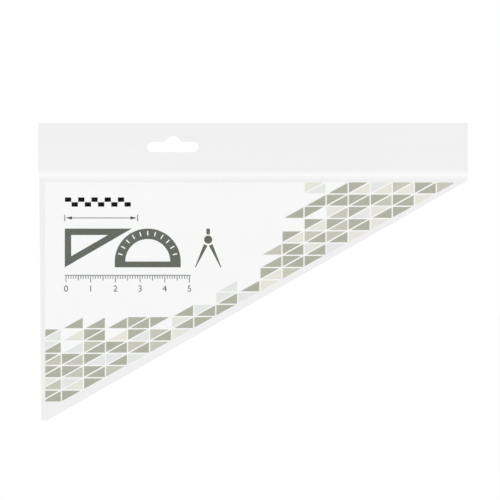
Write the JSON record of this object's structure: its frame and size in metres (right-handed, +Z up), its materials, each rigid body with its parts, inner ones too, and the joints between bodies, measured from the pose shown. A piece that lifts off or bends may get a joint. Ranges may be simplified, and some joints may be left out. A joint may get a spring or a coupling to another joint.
{
  "type": "drafting triangle in a hang pouch",
  "caption": "Right-angled 30/60 drafting triangle of smoke acrylic with bevelled edges and a finger opening, behind a printed card in a clear film pouch with a hanging header.",
  "frame": {"origin": "centre of the round part of the hang hole, on the plane where the two header films meet", "axes": "+Z up as it hangs, +X right along the header seen from the front, +Y from the front to the back"},
  "size_m": [0.1738, 0.0029, 0.1204],
  "materials": {
    "clear_film": "clear flexible film, glossy, heat welded at the edges",
    "coated_card": "coated card, offset printed on the front, plain on the back",
    "smoke_acrylic": "transparent smoke tint, polished faces, machined bevels"
  },
  "bodies": {
    "pouch": {"front_film": "clear_film", "header_backing": "clear_film", "back_film": "clear_film"},
    "card": {"insert_card": "coated_card"},
    "triangle": {"acrylic_triangle": "smoke_acrylic"}
  },
  "joints": [
    {"name": "card_slide", "type": "slide", "parent": "pouch", "child": "card", "axis": [0, 0, 1], "range_m": [0, 0.118]},
    {"name": "triangle_slide", "type": "slide", "parent": "pouch", "child": "triangle", "axis": [0, 0, 1], "range_m": [0, 0.118]}
  ]
}
